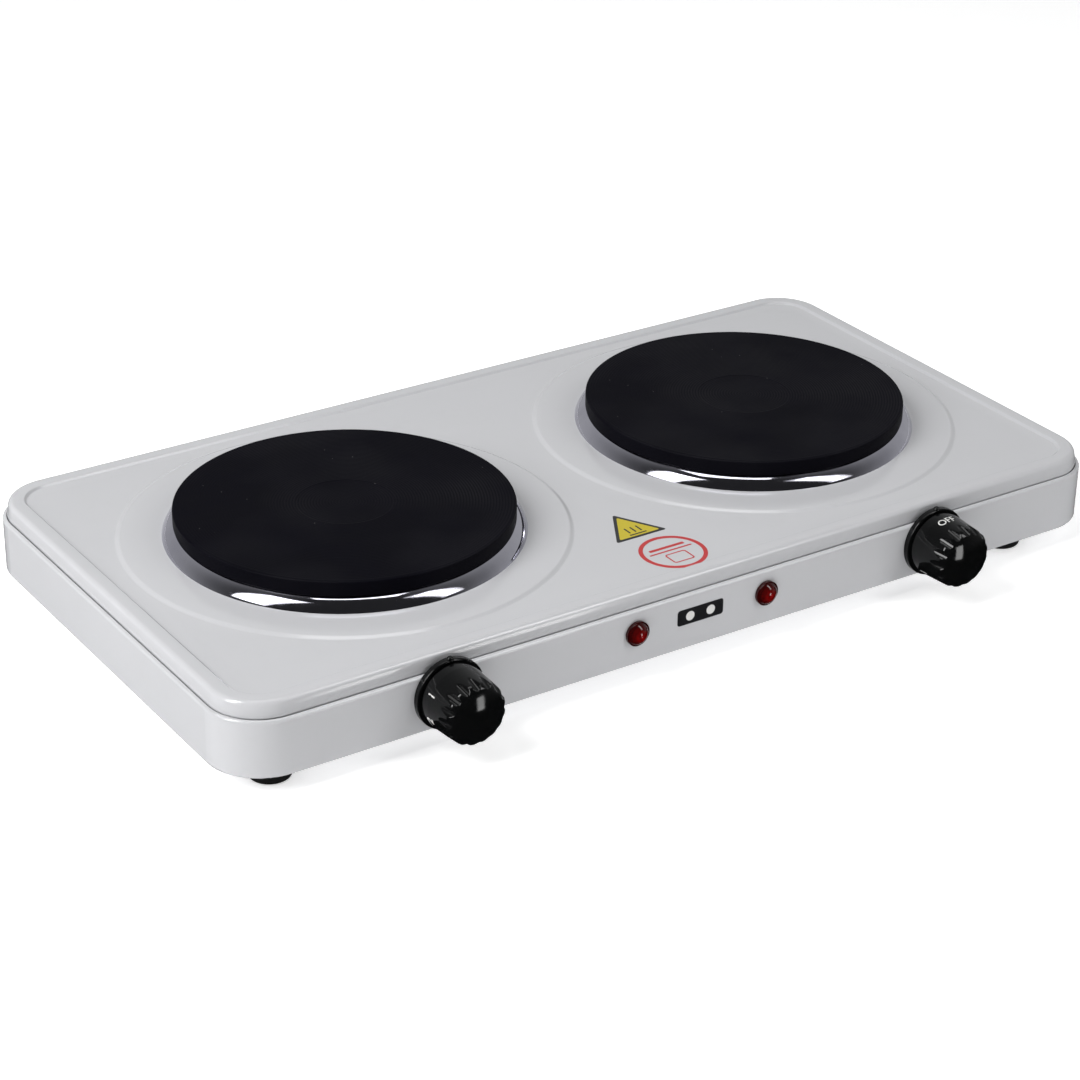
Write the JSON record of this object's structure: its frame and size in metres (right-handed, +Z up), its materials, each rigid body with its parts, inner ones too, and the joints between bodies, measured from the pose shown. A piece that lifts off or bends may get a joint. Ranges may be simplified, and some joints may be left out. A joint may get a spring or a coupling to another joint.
{
  "type": "double hot plate burner",
  "caption": "Tabletop electric hot plate: flat white enamelled casing, round cast-iron plates in chrome trim rings, fluted black front knobs, red pilot lamps and short feet.",
  "frame": {"origin": "middle of the footprint at floor level, with the knobs and the cord gland counted in", "axes": "+X to the right seen from the front, +Y to the rear, +Z up; the knobs are at the front, towards -Y"},
  "size_m": [0.4706, 0.2892, 0.0553],
  "materials": {
    "enamel": "glossy white vitreous enamel",
    "foot_rubber": "matte black",
    "cast_iron": "black, machined with fine rings",
    "chrome_trim": "polished",
    "black_plastic": "glossy black phenolic",
    "gland_nylon": "satin black",
    "red_lens": "clear red, faceted",
    "lamp_glass": "clear",
    "resistance_wire": "oxidised",
    "magnesia": "matte",
    "ceramic": "matte",
    "brass": "plain",
    "lead_sleeve": "woven glass sleeve",
    "plated_steel": "zinc plated"
  },
  "bodies": {
    "casing": {"base_pan": "enamel", "top_panel": "enamel", "front_left_foot": "foot_rubber", "front_right_foot": "foot_rubber", "rear_left_foot": "foot_rubber", "rear_right_foot": "foot_rubber", "front_left_foot_screw": "plated_steel", "front_right_foot_screw": "plated_steel", "rear_left_foot_screw": "plated_steel", "rear_right_foot_screw": "plated_steel", "front_left_post": "plated_steel", "front_right_post": "plated_steel", "rear_left_post": "plated_steel", "rear_right_post": "plated_steel", "left_trim_ring": "chrome_trim", "right_trim_ring": "chrome_trim", "left_hotplate": "cast_iron", "right_hotplate": "cast_iron", "left_heating_coil": "resistance_wire", "right_heating_coil": "resistance_wire", "left_insulation": "magnesia", "right_insulation": "magnesia", "left_plate_cover": "plated_steel", "right_plate_cover": "plated_steel", "left_clamp_bar": "plated_steel", "right_clamp_bar": "plated_steel", "left_plate_stud": "plated_steel", "right_plate_stud": "plated_steel", "left_clamp_nut": "plated_steel", "right_clamp_nut": "plated_steel", "left_plate_terminals": "ceramic", "right_plate_terminals": "ceramic", "left_bezel": "black_plastic", "right_bezel": "black_plastic", "left_thermostat_frame": "plated_steel", "right_thermostat_frame": "plated_steel", "left_thermostat_block": "ceramic", "right_thermostat_block": "ceramic", "left_bimetal_blade": "brass", "right_bimetal_blade": "brass", "left_thermostat_screws": "plated_steel", "right_thermostat_screws": "plated_steel", "left_lamp_lens": "red_lens", "right_lamp_lens": "red_lens", "left_lamp_bulb": "lamp_glass", "right_lamp_bulb": "lamp_glass", "cord_gland": "gland_nylon", "terminal_block": "ceramic", "terminal_screws": "brass", "earth_screw": "brass", "left_supply_lead": "lead_sleeve", "right_supply_lead": "lead_sleeve", "left_plate_lead": "lead_sleeve", "right_plate_lead": "lead_sleeve"},
    "left_knob": {"left_knob": "black_plastic", "left_knob_spring": "plated_steel", "left_shaft": "plated_steel"},
    "right_knob": {"right_knob": "black_plastic", "right_knob_spring": "plated_steel", "right_shaft": "plated_steel"}
  },
  "joints": [
    {"name": "left_knob_turn", "type": "hinge", "parent": "casing", "child": "left_knob", "pos_m": [-0.1346, -0.1178, 0.0243], "axis": [0, 1, 0], "range_deg": [-66, 204]},
    {"name": "right_knob_turn", "type": "hinge", "parent": "casing", "child": "right_knob", "pos_m": [0.1296, -0.1178, 0.0243], "axis": [0, 1, 0], "range_deg": [0, 270]}
  ]
}
